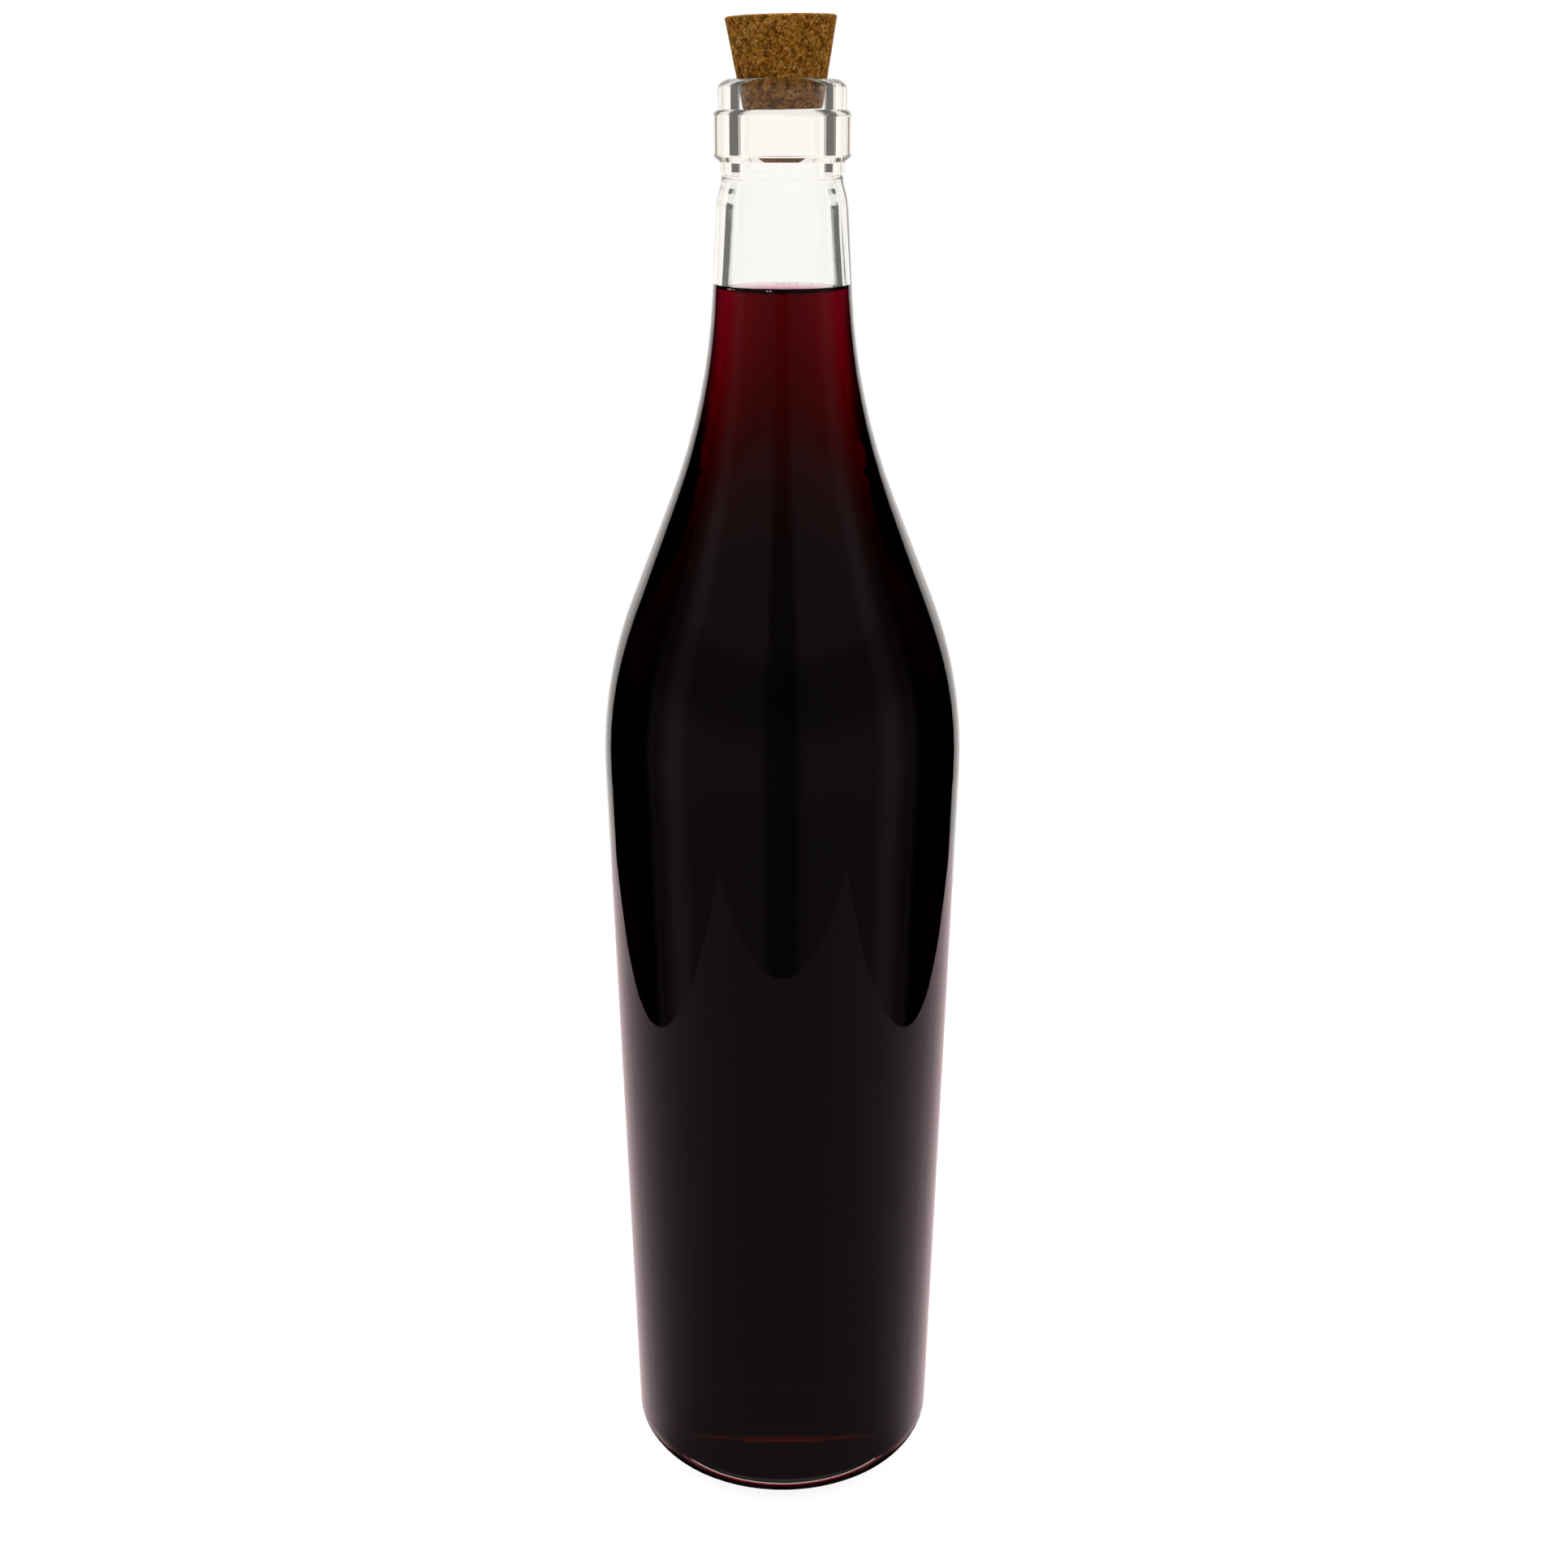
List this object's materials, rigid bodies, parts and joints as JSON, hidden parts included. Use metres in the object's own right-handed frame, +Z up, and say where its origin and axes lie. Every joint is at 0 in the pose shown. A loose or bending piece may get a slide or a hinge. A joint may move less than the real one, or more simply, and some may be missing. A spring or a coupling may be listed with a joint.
{
  "type": "corked glass wine bottle",
  "caption": "Clear glass bottle with sloping shoulders and a banded mouth, filled with dark red wine and closed by a tapered cork stopper that stands up out of the mouth.",
  "frame": {"origin": "centre of the foot ring, in the plane that the bottle stands on", "axes": "+Z up along the bottle's axis, through the mouth; the cork leans a little towards -X"},
  "size_m": [0.0784, 0.0784, 0.3263],
  "materials": {
    "clear_glass": "clear polished",
    "red_wine": "still dark red liquid",
    "pressed_cork": "matt, pressed granules"
  },
  "bodies": {
    "root": {"bottle": "clear_glass", "wine": "red_wine", "cork": "pressed_cork"}
  },
  "joints": []
}
